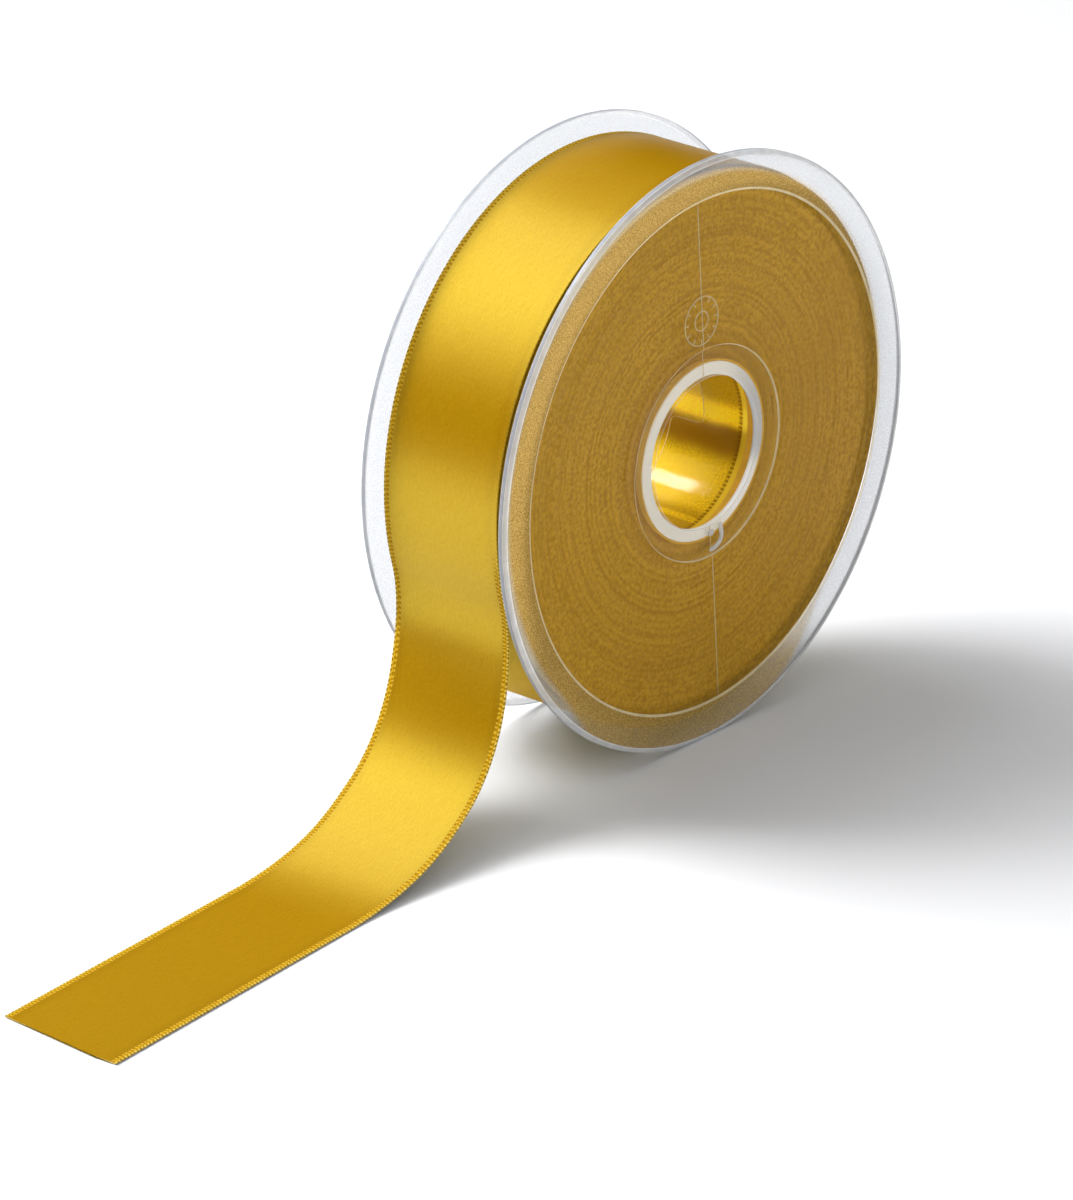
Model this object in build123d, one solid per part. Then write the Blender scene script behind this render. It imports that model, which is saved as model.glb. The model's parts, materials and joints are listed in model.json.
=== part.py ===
"""Clear plastic ribbon spool carrying a roll of 25 mm satin ribbon with its free end paid out.

Frame: millimetres. The origin is on the spool's axis, half-way between the two flanges.
+Y runs along the axis from the front flange to the rear flange, +Z is up, and the ribbon
leaves the roll on the -X side and lies along the ground at z = -FLANGE_RADIUS.
"""
from build123d import *
from math import atan, cos, degrees, radians, sin, tan
import os

# Flanges: two mouldings from the same mould, clipped together back to back.
FLANGE_RADIUS = 52.5
SPOOL_WIDTH = 32.0
FLANGE_THICKNESS = 1.3
RIM_BEVEL_DEPTH = 0.34
RIM_BEVEL_WIDTH = 0.8
WINDOW_RADIUS = 45.8
WINDOW_RECESS = 0.17
STEP_RADIUS = 19.0
STEP_RECESS = 0.47

# Hub: a sleeve that ends in two tongues, which fill the notches of the other half.
BORE_RADIUS = 13.5
HUB_RADIUS = 15.8
TONGUE_REACH = 3.6
TONGUE_START = -8.0
TONGUE_SPAN = 90.0
TONGUE_COUNT = 2
TONGUE_GAP = 0.1
TONGUE_CORNER = 1.4

# Fine raised detail on each flange's outer face.
BEAD_HEIGHT = 0.07
WITNESS_WIDTH = 0.16
WITNESS_TILT = 4.2
DIAL_CENTRE = (-2.0, 24.4)
DIAL_RADIUS = 4.3
DIAL_INNER_RADIUS = 1.7
DIAL_LINE = 0.22
DIAL_TICKS = 12
DIAL_TICK_LENGTH = 0.9
GATE_WIDTH = 0.9
GATE_HEIGHT = 0.35
GATE_NUB_RADIUS = 0.8
GATE_NUB_CENTRE = (1.3, -14.9)

# Ribbon: 25 m of 25 mm satin, wound on the hub.
RIBBON_WIDTH = 25.0
RIBBON_THICKNESS = 0.3
RIBBON_OFFSET = 1.1
ROLL_RADIUS = 49.2
TURN_CLEARANCE = 0.05
TURN_END_ANGLE = 10.0

# Tape that holds the ribbon's inner end on the hub.
TAPE_THICKNESS = 0.1
TAPE_WIDTH = 18.0
TAPE_ANGLE = 60.0
TAPE_CENTRE_ANGLE = 215.0
TAPE_FIT = 0.02

# Free end of the ribbon: it leaves the roll below the horizontal, bends three times and lies flat.
# Slopes are measured from straight down, and the third bend's radius follows from the height left.
LEAVING_ANGLE = 16.0
FIRST_BEND_LENGTH = 12.0
FIRST_BEND_END = 17.0
SECOND_BEND_LENGTH = 26.7
SECOND_BEND_END = 65.4
GROUND_GAP = 0.1
TAIL_END_X = -157.8
TAIL_CUT_ANGLE = 3.2
SECTION_PITCH = 6.0

# The free end also heads sideways: it turns away over one ramp and partly back over another.
SKEW_ANGLE = 11.9
SKEW_RAMP = 18.7
FINAL_SKEW_ANGLE = 5.1
FINAL_SKEW_START = 40.8
FINAL_SKEW_RAMP = 21.1

# Places along the free end, measured from where it leaves the roll, where it flexes.
DROP_FLEX = 16.0
FLAT_FLEX = 70.0
TIP_FLEX = 103.0
FLEX_GAP = 0.3

HALF_WIDTH = SPOOL_WIDTH / 2
INNER_FACE = HALF_WIDTH - FLANGE_THICKNESS
OVERCUT = 1.0


def ring(outer, inner, start, end):
    """A round ring about the Y axis, between two places on that axis."""
    profile = Plane.XY * Pos((outer + inner) / 2, (start + end) / 2) * Rectangle(outer - inner, end - start)
    return revolve(profile, Axis.Y)


def ring_sector(outer, inner, start, end, first_angle, last_angle):
    """Part of a ring, between two angles from +X towards +Z."""
    profile = Plane.XY * Pos((outer + inner) / 2, (start + end) / 2) * Rectangle(outer - inner, end - start)
    placed = Rot(0, -first_angle, 0) * profile
    return revolve(placed, Axis(Vector(0, 0, 0), Vector(0, -1, 0)), last_angle - first_angle)


def flange_disc():
    """The front flange's disc, with its bevelled rim, window recess and stepped centre."""
    outside = -HALF_WIDTH
    with BuildPart() as disc:
        with BuildSketch(Plane.XY):
            with BuildLine():
                Polyline(
                    (BORE_RADIUS, -INNER_FACE),
                    (FLANGE_RADIUS, -INNER_FACE),
                    (FLANGE_RADIUS, outside + RIM_BEVEL_DEPTH),
                    (FLANGE_RADIUS - RIM_BEVEL_WIDTH, outside),
                    (WINDOW_RADIUS, outside),
                    (WINDOW_RADIUS, outside + WINDOW_RECESS),
                    (STEP_RADIUS, outside + WINDOW_RECESS),
                    (STEP_RADIUS, outside + STEP_RECESS),
                    (BORE_RADIUS, outside + STEP_RECESS),
                    close=True,
                )
            make_face()
        revolve(axis=Axis.Y)
    return disc.part


def corner_wedge(angle, place, towards, upwards):
    """What a rounded corner removes from the hub's wall, or adds to it, at a tongue's edge."""
    tangent = Vector(-sin(radians(angle)), 0, cos(radians(angle)))
    radial = Vector(cos(radians(angle)), 0, sin(radians(angle)))
    origin = radial * (BORE_RADIUS - OVERCUT) + Vector(0, place, 0)
    middle = Pos(towards * TONGUE_CORNER / 2, upwards * TONGUE_CORNER / 2)
    corner = middle * Rectangle(TONGUE_CORNER, TONGUE_CORNER)
    corner -= Pos(towards * TONGUE_CORNER, upwards * TONGUE_CORNER) * Circle(TONGUE_CORNER)
    depth = HUB_RADIUS - BORE_RADIUS + 2 * OVERCUT
    return extrude(Plane(origin=origin, x_dir=tangent, z_dir=radial) * corner, depth)


def hub_half():
    """The sleeve from the flange to the low line of the joint, and its round-cornered tongues."""
    low = -TONGUE_REACH - TONGUE_GAP / 2
    tip = TONGUE_REACH - TONGUE_GAP / 2
    sleeve = ring(HUB_RADIUS, BORE_RADIUS, -INNER_FACE, low)
    wall = ring(HUB_RADIUS, BORE_RADIUS, low, tip)
    gap_angle = degrees(TONGUE_GAP / 2 / HUB_RADIUS)
    for index in range(TONGUE_COUNT):
        last = TONGUE_START - gap_angle + index * 360.0 / TONGUE_COUNT
        first = last - TONGUE_SPAN + 2 * gap_angle
        sleeve += ring_sector(HUB_RADIUS, BORE_RADIUS, low, tip, first, last)
        for edge, inwards in ((first, 1), (last, -1)):
            sleeve += wall & corner_wedge(edge, low, -inwards, -1)
            sleeve -= corner_wedge(edge, tip, inwards, 1)
    return sleeve


def on_face(height):
    """A sketch plane on the front flange's outside, with x to the right and y up."""
    return Plane(origin=(0, height, 0), x_dir=(1, 0, 0), z_dir=(0, -1, 0))


def witness_line():
    """The mould's fine parting line, raised across the window on both sides of the hub."""
    plane = on_face(-HALF_WIDTH + WINDOW_RECESS)
    length = WINDOW_RADIUS - STEP_RADIUS
    middle = (WINDOW_RADIUS + STEP_RADIUS) / 2
    line = Rectangle(WITNESS_WIDTH, length)
    both = Pos(0, middle) * line + Pos(0, -middle) * line
    return extrude(plane * Rot(0, 0, WITNESS_TILT) * both, BEAD_HEIGHT)


def mould_dial():
    """A plain round dial with ticks, raised on the window."""
    half_line = DIAL_LINE / 2
    rings = Circle(DIAL_RADIUS + half_line) - Circle(DIAL_RADIUS - half_line)
    rings += Circle(DIAL_INNER_RADIUS + half_line) - Circle(DIAL_INNER_RADIUS - half_line)
    tick_centre = DIAL_RADIUS - half_line - DIAL_TICK_LENGTH / 2 + half_line / 2
    for index in range(DIAL_TICKS):
        tick = Pos(tick_centre, 0) * Rectangle(DIAL_TICK_LENGTH, DIAL_LINE)
        rings += Rot(0, 0, index * 360.0 / DIAL_TICKS) * tick
    plane = on_face(-HALF_WIDTH + WINDOW_RECESS)
    return extrude(plane * Pos(*DIAL_CENTRE) * rings, BEAD_HEIGHT)


def gate_mark():
    """The hooked bead and nub left by the mould's gate, on the stepped centre."""
    stem = Line((3.6, -13.9), (4.1, -15.9))
    curl = ThreePointArc((4.1, -15.9), (3.4, -17.4), (0.9, -18.0))
    bead = trace(stem + curl, GATE_WIDTH)
    nub = Pos(*GATE_NUB_CENTRE) * Circle(GATE_NUB_RADIUS)
    plane = on_face(-HALF_WIDTH + STEP_RECESS)
    return extrude(plane * (bead + nub), GATE_HEIGHT)


def spool_half():
    """One moulding: a flange with half of the hub and its raised detail."""
    moulding = flange_disc() + hub_half()
    for detail in (witness_line(), mould_dial(), gate_mark()):
        moulding += detail
    return moulding


def other_half(front):
    """The same moulding turned to face the first, with its tongues in the first one's notches."""
    return Rot(0, 2 * abs(TONGUE_START), 0) * (Rot(0, 0, 180) * front)


def anchor_tape():
    """The short clear tape under the ribbon's first turn."""
    inner = HUB_RADIUS + TAPE_FIT
    low = RIBBON_OFFSET - TAPE_WIDTH / 2
    high = RIBBON_OFFSET + TAPE_WIDTH / 2
    first = TAPE_CENTRE_ANGLE - TAPE_ANGLE / 2
    return ring_sector(inner + TAPE_THICKNESS, inner, low, high, first, first + TAPE_ANGLE)


def ribbon_roll():
    """The wound ribbon under the outermost turn."""
    inner = HUB_RADIUS + TAPE_THICKNESS + 2 * TAPE_FIT
    outer = ROLL_RADIUS - RIBBON_THICKNESS - TURN_CLEARANCE
    return ring(outer, inner, RIBBON_OFFSET - RIBBON_WIDTH / 2, RIBBON_OFFSET + RIBBON_WIDTH / 2)


def free_end_bends():
    """Where each stretch of the free end's side view starts: distance, x, z, slope and radius (None: straight)."""
    radius = ROLL_RADIUS - RIBBON_THICKNESS / 2
    ground = -FLANGE_RADIUS + GROUND_GAP + RIBBON_THICKNESS / 2
    slope = -radians(LEAVING_ANGLE)
    distance, x, z = 0.0, -radius * cos(slope), radius * sin(slope)
    bends = []
    for length, end in ((FIRST_BEND_LENGTH, FIRST_BEND_END), (SECOND_BEND_LENGTH, SECOND_BEND_END), (None, 90.0)):
        end = radians(end)
        bend = length / (end - slope) if length else (z - ground) / (1 - sin(slope))
        bends.append((distance, x, z, slope, bend))
        distance += bend * (end - slope)
        x += bend * (cos(end) - cos(slope))
        z -= bend * (sin(end) - sin(slope))
        slope = end
    bends.append((distance, x, z, slope, None))
    return bends


BENDS = free_end_bends()


def profile_at(distance):
    """Place and slope of the free end's side view: x, z and the angle from straight down."""
    start, x, z, slope, radius = [bend for bend in BENDS if bend[0] <= distance][-1]
    if radius is None:
        return x - (distance - start), z, slope
    turned = slope + (distance - start) / radius
    return x + radius * (cos(turned) - cos(slope)), z - radius * (sin(turned) - sin(slope)), turned


def ramp_at(distance, start, length):
    """How far a smooth ramp from 0 to 1 has risen, and its running total."""
    share = min(max((distance - start) / length, 0.0), 1.0)
    rest = max(distance - start - length, 0.0)
    return share * share * (3 - 2 * share), length * (share ** 3 - share ** 4 / 2) + rest


def sideways_at(distance):
    """The ribbon's sideways heading, and how far its centre line has moved towards -Y."""
    out, out_total = ramp_at(distance, 0.0, SKEW_RAMP)
    back, back_total = ramp_at(distance, FINAL_SKEW_START, FINAL_SKEW_RAMP)
    first = tan(radians(SKEW_ANGLE))
    second = tan(radians(FINAL_SKEW_ANGLE)) - first
    return atan(first * out + second * back), first * out_total + second * back_total


def section_at(distance):
    """The ribbon's cross-section at a distance along the free end."""
    x, z, slope = profile_at(distance)
    skew, drift = sideways_at(distance)
    along = Vector(-sin(slope), 0, -cos(slope))
    side = Vector(0, 1, 0)
    heading = along * cos(skew) - side * sin(skew)
    across = along * sin(skew) + side * cos(skew)
    centre = Vector(x, RIBBON_OFFSET - drift, z)
    plane = Plane(origin=centre, x_dir=across, z_dir=heading)
    return plane * Rectangle(RIBBON_WIDTH, RIBBON_THICKNESS)


def ribbon_strip(first, last):
    """The free end between two distances, lofted through evenly spaced sections."""
    count = max(2, round((last - first) / SECTION_PITCH) + 1)
    step = (last - first) / (count - 1)
    return loft([section_at(first + index * step) for index in range(count)])


def ribbon_lead():
    """The outermost turn round the roll and the first of the free end."""
    low = RIBBON_OFFSET - RIBBON_WIDTH / 2
    high = RIBBON_OFFSET + RIBBON_WIDTH / 2
    first = 180.0 + LEAVING_ANGLE + TURN_END_ANGLE - 360.0
    turn = ring_sector(ROLL_RADIUS, ROLL_RADIUS - RIBBON_THICKNESS, low, high, first, 180.0 + LEAVING_ANGLE)
    return turn + ribbon_strip(0.0, DROP_FLEX - FLEX_GAP / 2)


def ribbon_tip():
    """The last of the free end, cut a little aslant with its near corner the longest."""
    start, x = BENDS[-1][:2]
    longest = start + x - TAIL_END_X + RIBBON_WIDTH / 2
    strip = ribbon_strip(TIP_FLEX + FLEX_GAP / 2, longest)
    waste = Box(RIBBON_WIDTH, 4 * RIBBON_WIDTH, 2 * FLANGE_RADIUS, align=(Align.MAX, Align.CENTER, Align.CENTER))
    middle = RIBBON_OFFSET - sideways_at(longest)[1]
    return strip - Pos(TAIL_END_X, middle, -FLANGE_RADIUS) * Rot(0, 0, -TAIL_CUT_ANGLE) * waste


def build_nodes():
    """Every separate solid of the model, by node name."""
    front = spool_half()
    return {
        "front_flange": front,
        "rear_flange": other_half(front),
        "anchor_tape": anchor_tape(),
        "ribbon_roll": ribbon_roll(),
        "ribbon_lead": ribbon_lead(),
        "ribbon_drop": ribbon_strip(DROP_FLEX + FLEX_GAP / 2, FLAT_FLEX - FLEX_GAP / 2),
        "ribbon_flat": ribbon_strip(FLAT_FLEX + FLEX_GAP / 2, TIP_FLEX - FLEX_GAP / 2),
        "ribbon_tip": ribbon_tip(),
    }


os.makedirs("parts", exist_ok=True)
for name, shape in build_nodes().items():
    export_step(shape, f"parts/{name}.step")
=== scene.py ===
import bpy
import json
import math
import numpy as np
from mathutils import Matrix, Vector


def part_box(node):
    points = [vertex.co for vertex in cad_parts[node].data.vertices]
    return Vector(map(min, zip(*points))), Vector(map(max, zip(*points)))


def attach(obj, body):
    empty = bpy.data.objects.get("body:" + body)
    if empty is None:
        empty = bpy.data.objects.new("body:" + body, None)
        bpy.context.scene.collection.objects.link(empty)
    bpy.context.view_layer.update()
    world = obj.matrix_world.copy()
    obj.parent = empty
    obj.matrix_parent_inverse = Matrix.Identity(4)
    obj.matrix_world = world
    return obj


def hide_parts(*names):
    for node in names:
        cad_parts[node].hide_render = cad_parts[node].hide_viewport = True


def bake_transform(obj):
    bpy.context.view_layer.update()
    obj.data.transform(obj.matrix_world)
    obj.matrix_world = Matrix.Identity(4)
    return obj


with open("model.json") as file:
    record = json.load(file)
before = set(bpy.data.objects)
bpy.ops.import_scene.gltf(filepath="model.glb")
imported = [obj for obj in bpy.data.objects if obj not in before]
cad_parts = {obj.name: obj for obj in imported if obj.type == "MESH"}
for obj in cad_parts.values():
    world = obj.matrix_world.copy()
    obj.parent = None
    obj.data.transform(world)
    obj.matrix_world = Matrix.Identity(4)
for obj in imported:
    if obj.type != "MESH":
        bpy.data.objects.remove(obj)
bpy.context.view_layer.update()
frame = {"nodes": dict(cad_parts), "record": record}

# A clear plastic ribbon spool with golden satin ribbon. Lengths are metres, and MM is one millimetre.
# The spool's axis is Y, its front flange faces -Y, and the free end of the ribbon runs towards -X.

MM = 0.001

# ---------------------------------------------------------------- sizes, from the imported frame

FLANGE_LOW, FLANGE_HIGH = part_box("front_flange")
ROLL_LOW, ROLL_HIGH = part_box("ribbon_roll")
LEAD_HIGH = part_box("ribbon_lead")[1]
TIP_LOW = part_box("ribbon_tip")[0]
BORE = next(m for m in frame["record"]["mounts"] if m["kind"] == "bore")

FLANGE_RADIUS = FLANGE_HIGH.x
OUTER_FACE = -FLANGE_LOW.y
BORE_RADIUS = BORE["dims"]["r_mm"] * MM
ROLL_RADIUS = LEAD_HIGH.x
ROLL_CENTRE = (ROLL_LOW.y + ROLL_HIGH.y) / 2
RIBBON_WIDTH = ROLL_HIGH.y - ROLL_LOW.y
GROUND = -FLANGE_RADIUS

# Flanges and hub. Recesses and the bevel are depths in from a flange's outer face, and angles are degrees.
FLANGE_THICKNESS = 1.3 * MM
INNER_FACE = OUTER_FACE - FLANGE_THICKNESS
RIM_BEVEL_DEPTH = 0.34 * MM
RIM_BEVEL_WIDTH = 0.8 * MM
EDGE_ROUND = 0.12 * MM
WINDOW_RADIUS = 45.8 * MM
WINDOW_RECESS = 0.17 * MM
STEP_RADIUS = 19.0 * MM
STEP_RECESS = 0.47 * MM
HUB_RADIUS = 15.8 * MM
TONGUE_REACH = 3.6 * MM
TONGUE_START = -8.0
TONGUE_GAP = 0.1 * MM
TONGUE_CORNER = 1.4 * MM
TONGUE_COUNT = 2
TURN_OF_OTHER_HALF = 16.0

# The wound ribbon, whose turns lean off centre towards the front flange, and the gap in front of it. Its
# outer surface shows the ribbon's face up to PACK_FACE_EDGE millimetres across, and no selvedge.
RIBBON_THICKNESS = 0.27 * MM
STITCH_PITCH = 0.8 * MM
TURN_STEP = 1.04 * RIBBON_THICKNESS
ROLL_GAP = 2.3 * MM
LEAN = 2.3 * MM
LEAN_AT_HUB = 1.9 * MM
PACK_INNER_RADIUS = 15.95 * MM
PACK_OUTER_RADIUS = ROLL_RADIUS - 2.25 * RIBBON_THICKNESS
PACK_COLUMNS = 160
PACK_ROWS_PER_TURN = 2
PACK_OUTER_ROWS = (0.97, 0.5, 0.03)
PACK_BORE_ROWS = (0.03, 0.06, 0.12, 0.5, 0.88, 0.94, 0.97)
PACK_CROWN = 0.05 * MM
PACK_FACE_EDGE = 11.0

# The free end's side view: where it leaves the roll, then each bend's length and its slope at the end in
# degrees. The last bend's length is whatever brings the ribbon down flat on the ground.
LEAVING_ANGLE = 16.0
LEAVING_RADIUS = ROLL_RADIUS - RIBBON_THICKNESS / 2
BENDS = ((12.0 * MM, 17.0), (26.7 * MM, 65.4), (None, 90.0))
GROUND_CLEARANCE = 0.1 * MM

# The free end's sideways heading, which comes in over one stretch and partly goes over another.
SKEW = math.tan(math.radians(11.9))
SKEW_RAMP = 18.7 * MM
FINAL_SKEW = math.tan(math.radians(5.1))
FINAL_SKEW_START = 40.8 * MM
FINAL_SKEW_RAMP = 21.1 * MM
CUT_ANGLE = math.radians(3.2)

# Distances along the free end: where its near selvedge is tucked in beside the flange, and where one
# strip of it ends and the next begins.
TUCKED_BEFORE = -7.0 * MM
SEAM_ON_DROP = 34.0 * MM
SEAM_ON_FLAT = 86.5 * MM

# Camera. Its azimuth is 0 when it looks along +Y.
CAMERA_AZIMUTH = math.radians(-49.01)
CAMERA_ELEVATION = math.radians(22.73)
CAMERA_DISTANCE = 1299.2 * MM
CAMERA_AIM = Vector((-26.3 * MM, -0.3 * MM, -22.8 * MM))
CAMERA_LENS = 230.9


# ---------------------------------------------------------------- mesh tools


def make_object(name, vertices, faces, slots=None, materials=(), sharp_angle=35.0):
    """A mesh object with smooth shading that stays sharp at edges steeper than sharp_angle."""
    mesh = bpy.data.meshes.new(name)
    mesh.from_pydata([tuple(v) for v in vertices], [], faces)
    for material in materials:
        mesh.materials.append(material)
    if slots is not None:
        mesh.polygons.foreach_set("material_index", np.asarray(slots, np.int32))
    mesh.polygons.foreach_set("use_smooth", np.ones(len(mesh.polygons), bool))
    mesh.set_sharp_from_angle(angle=math.radians(sharp_angle))
    mesh.update()
    mesh.validate()
    piece = bpy.data.objects.new(name, mesh)
    bpy.context.scene.collection.objects.link(piece)
    return piece


def add_uv(piece, per_vertex, name="cloth"):
    """Stores a pair of numbers per vertex as the piece's UV map."""
    layer = piece.data.uv_layers.new(name=name)
    loops = np.zeros(len(piece.data.loops), np.int32)
    piece.data.loops.foreach_get("vertex_index", loops)
    layer.data.foreach_set("uv", np.asarray(per_vertex, np.float32)[loops].ravel())


def grid_faces(rows, columns, wrap_rows, wrap_columns):
    """Quads over a grid of vertices numbered row by row."""
    faces = []
    for row in range(rows if wrap_rows else rows - 1):
        next_row = (row + 1) % rows
        for column in range(columns if wrap_columns else columns - 1):
            next_column = (column + 1) % columns
            faces.append((
                row * columns + column,
                row * columns + next_column,
                next_row * columns + next_column,
                next_row * columns + column,
            ))
    return faces


def turned_about_axis(points, half_turn, angle):
    """Points turned half round about Z and then by an angle about Y, or left as they are."""
    if not half_turn:
        return points
    turned = points * np.array([-1.0, -1.0, 1.0])
    c = math.cos(angle)
    s = math.sin(angle)
    x = turned[:, 0] * c + turned[:, 2] * s
    z = -turned[:, 0] * s + turned[:, 2] * c
    return np.column_stack([x, turned[:, 1], z])


# ---------------------------------------------------------------- material tools


class Shader:
    """Builds one node material: a Principled shader, and any layers laid over it."""

    def __init__(self, name):
        self.material = bpy.data.materials.new(name)
        self.material.use_nodes = True
        self.tree = self.material.node_tree
        self.tree.nodes.clear()
        self.output = self.tree.nodes.new("ShaderNodeOutputMaterial")
        self.main = self.add("BsdfPrincipled")
        self.tree.links.new(self.main.outputs[0], self.output.inputs["Surface"])

    def add(self, kind, inputs=None, **settings):
        """A new node, with its settings made and its inputs filled from sockets or values."""
        node = self.tree.nodes.new("ShaderNode" + kind)
        for key, value in settings.items():
            setattr(node, key, value)
        for key, value in (inputs or {}).items():
            self.put(node.inputs[key], value)
        return node

    def put(self, socket, value):
        """Links a socket into this one, or sets its value."""
        if isinstance(value, bpy.types.NodeSocket):
            self.tree.links.new(value, socket)
        else:
            socket.default_value = value

    def set(self, **values):
        """Fills inputs of the first Principled shader, with _ for each space in a name."""
        for key, value in values.items():
            self.put(self.main.inputs[key.replace("_", " ")], value)

    def blend_in(self, share, layer, layer_input):
        """Blends what reaches the output with another shader, which takes the given input of the blend."""
        blend = self.add("MixShader", {"Fac": share})
        current = self.output.inputs["Surface"].links[0].from_socket
        self.put(blend.inputs[3 - layer_input], current)
        self.put(blend.inputs[layer_input], layer.outputs[0])
        self.put(self.output.inputs["Surface"], blend.outputs[0])

    def add_layer(self, share, **values):
        """Lays a second Principled shader over the first, with the given share."""
        layer = self.add("BsdfPrincipled")
        for key, value in values.items():
            self.put(layer.inputs[key.replace("_", " ")], value)
        self.blend_in(share, layer, 2)

    def add_glow(self, share, tint):
        """Lets part of the light that falls on the far side through."""
        through = self.add("BsdfTranslucent", {"Color": tint})
        self.blend_in(share, through, 2)

    def see_through(self, share, tint=(1.0, 1.0, 1.0, 1.0)):
        """Leaves only a share of the shader and lets what is behind show, tinted, for the rest."""
        self.blend_in(share, self.add("BsdfTransparent", {"Color": tint}), 1)

    def without_bleed(self, base):
        """The base colour, but dark grey to light that bounces on, so that the floor stays neutral."""
        bounced = self.add("LightPath").outputs["Is Diffuse Ray"]
        return self.mix(bounced, base, colour(0.30, 0.30, 0.30))

    def math(self, operation, first, second=0.0, clamp=False):
        node = self.add("Math", {0: first, 1: second}, operation=operation, use_clamp=clamp)
        return node.outputs[0]

    def plus(self, first, second, clamp=False):
        return self.math("ADD", first, second, clamp)

    def minus(self, first, second):
        return self.math("SUBTRACT", first, second)

    def times(self, first, second):
        return self.math("MULTIPLY", first, second)

    def ramp(self, value, first, last, low=0.0, high=1.0):
        """Maps value from first..last to low..high, smoothly and clamped."""
        inputs = {"Value": value, "From Min": first, "From Max": last, "To Min": low, "To Max": high}
        node = self.add("MapRange", inputs, interpolation_type="SMOOTHSTEP")
        return node.outputs["Result"]

    def mix(self, share, first, second):
        node = self.add("Mix", {"Factor": share}, data_type="RGBA")
        self.put(node.inputs[6], first)
        self.put(node.inputs[7], second)
        return node.outputs[2]

    def noise(self, vector, scale, detail=2.0, roughness=0.5):
        inputs = {"Vector": vector, "Scale": scale, "Detail": detail, "Roughness": roughness}
        return self.add("TexNoise", inputs).outputs["Fac"]

    def combine(self, x, y, z=0.0):
        return self.add("CombineXYZ", {0: x, 1: y, 2: z}).outputs[0]

    def split(self, vector):
        return self.add("SeparateXYZ", {0: vector}).outputs

    def vector_math(self, operation, first, second=(0.0, 0.0, 0.0)):
        return self.add("VectorMath", {0: first, 1: second}, operation=operation).outputs[0]

    def length(self, x, z):
        return self.math("SQRT", self.plus(self.times(x, x), self.times(z, z)))

    def bump(self, height, distance, strength=1.0, normal=None):
        node = self.add("Bump", {"Height": height, "Distance": distance, "Strength": strength})
        if normal:
            self.put(node.inputs["Normal"], normal)
        return node.outputs["Normal"]

    def place(self):
        """The surface point's own coordinates, in metres, which turn with the piece."""
        return self.add("TexCoord").outputs["Object"]

    def position(self):
        """The surface point's place in the room, in metres."""
        return self.add("NewGeometry").outputs["Position"]

    def turn_round_axis(self):
        """The surface point's angle round the spool's axis, in degrees, 0 along +X and 90 at the top."""
        parts = self.split(self.position())
        return self.times(self.math("ARCTAN2", parts[2], parts[0]), 180.0 / math.pi)

    def place_on_ribbon(self):
        """Millimetres along the ribbon, across it from its middle, and in from its nearer edge."""
        parts = self.split(self.add("UVMap", uv_map="cloth").outputs[0])
        from_edge = self.minus(RIBBON_WIDTH / MM / 2, self.math("ABSOLUTE", parts[1]))
        return parts[0], parts[1], from_edge


def colour(red, green, blue):
    """An opaque colour, in linear light."""
    return (red, green, blue, 1.0)


# ---------------------------------------------------------------- materials


# How fast the stitches' phase runs, in radians for each millimetre along the ribbon.
STITCHES = 2 * math.pi / (STITCH_PITCH / MM)


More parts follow.
